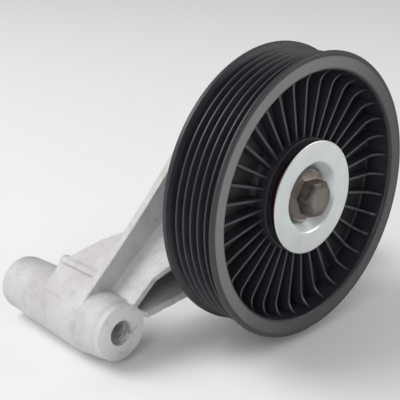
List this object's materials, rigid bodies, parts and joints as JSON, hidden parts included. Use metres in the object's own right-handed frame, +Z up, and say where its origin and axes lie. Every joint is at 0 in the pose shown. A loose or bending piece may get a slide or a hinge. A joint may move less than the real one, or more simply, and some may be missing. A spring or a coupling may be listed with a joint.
{
  "type": "belt idler pulley bracket",
  "caption": "Six-rib belt idler: ribbed black pulley on a sealed ball bearing, bolted to a cast aluminium bracket with tubular mounting bosses.",
  "frame": {"origin": "on the pulley's spin axis, in the middle of the belt track", "axes": "+Z up, the pulley spins about Y with its front facing -Y, +X to the right seen from the front"},
  "size_m": [0.1549, 0.1024, 0.1159],
  "materials": {
    "cast_aluminium": "fine sand-cast skin, satin, with machined boss faces",
    "black_nylon": "moulded glass-filled nylon, satin",
    "zinc_steel": "clear zinc plate, soft satin",
    "bolt_steel": "phosphated steel, brownish grey",
    "red_rubber": "dark red nitrile rubber",
    "bearing_steel": "ground and polished bearing steel",
    "cage_steel": "pressed sheet steel"
  },
  "bodies": {
    "bracket": {"bracket": "cast_aluminium", "pulley_bolt": "bolt_steel", "dust_shield": "zinc_steel", "spacer_bush": "zinc_steel", "bearing_inner_ring": "bearing_steel"},
    "pulley": {"pulley_body": "black_nylon", "bearing_outer_ring": "bearing_steel", "seal_front": "red_rubber", "seal_rear": "red_rubber", "seal_core_front": "cage_steel", "seal_core_rear": "cage_steel"},
    "ball_set": {"ball_1": "bearing_steel", "ball_2": "bearing_steel", "ball_3": "bearing_steel", "ball_4": "bearing_steel", "ball_5": "bearing_steel", "ball_6": "bearing_steel", "ball_7": "bearing_steel", "ball_8": "bearing_steel", "cage_front": "cage_steel", "cage_rear": "cage_steel", "cage_rivets": "cage_steel"}
  },
  "joints": [
    {"name": "pulley_spin", "type": "hinge", "parent": "bracket", "child": "pulley", "pos_m": [0, 0, 0], "axis": [0, -1, 0], "continuous": true},
    {"name": "ball_set_spin", "type": "hinge", "parent": "bracket", "child": "ball_set", "pos_m": [0, 0, 0], "axis": [0, -1, 0], "continuous": true}
  ],
  "couplings": [
    {"joint": "ball_set_spin", "follows": "pulley_spin", "ratio": 0.6184}
  ]
}
